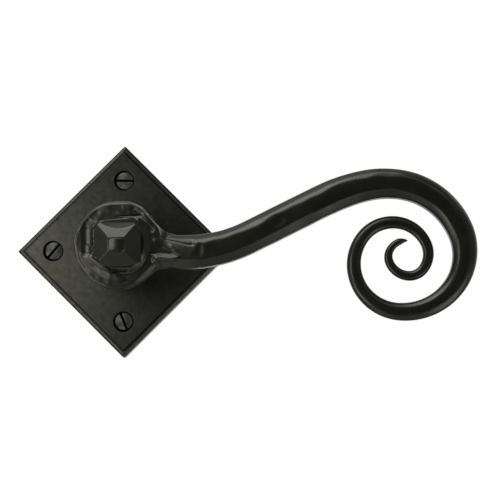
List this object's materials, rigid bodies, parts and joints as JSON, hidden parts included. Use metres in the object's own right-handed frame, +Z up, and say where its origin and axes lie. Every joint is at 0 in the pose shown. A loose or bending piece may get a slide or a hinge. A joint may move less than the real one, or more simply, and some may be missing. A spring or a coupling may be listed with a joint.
{
  "type": "door lever handle",
  "caption": "Black forged-style door lever with a tapered scroll end on a square rose set diagonally, sprung to return, with a square spindle and slotted fixing screws.",
  "frame": {"origin": "on the spindle axis at the door face, which is the back of the rose", "axes": "+Y into the door along the spindle, +X along the lever, +Z up"},
  "size_m": [0.1705, 0.112, 0.0802],
  "materials": {
    "black_rose": "satin black over iron",
    "black_lever": "satin black over hammered iron",
    "black_neck": "satin black",
    "black_screw": "satin black",
    "black_oxide": "black oxide",
    "steel": "drawn bright",
    "spring_steel": "oil tempered",
    "zinc_steel": "zinc plated",
    "bronze": "sintered bronze",
    "nylon": "matt"
  },
  "bodies": {
    "rose": {"rose_plate": "black_rose", "neck_bush": "bronze", "thrust_washer": "nylon", "rest_stop_pin": "steel", "travel_stop_pin": "steel", "spring_anchor_pin": "steel", "return_spring": "spring_steel", "spring_cover": "zinc_steel", "cover_screws": "zinc_steel", "rose_screws": "black_screw"},
    "handle": {"lever": "black_lever", "pyramid_stud": "black_lever", "stud_seat": "black_lever", "lever_neck": "black_neck", "spindle": "steel", "grub_screw": "black_oxide", "drive_cam": "steel", "retaining_circlip": "spring_steel", "shim_washer": "steel", "disc_spring": "spring_steel"}
  },
  "joints": [
    {"name": "lever_turn", "type": "hinge", "parent": "rose", "child": "handle", "pos_m": [0, 0, 0], "axis": [0, 1, 0], "range_deg": [0, 45], "stiffness_Nm_per_rad": 0.3, "springref_deg": -85.94, "deforming": ["return_spring"]}
  ]
}
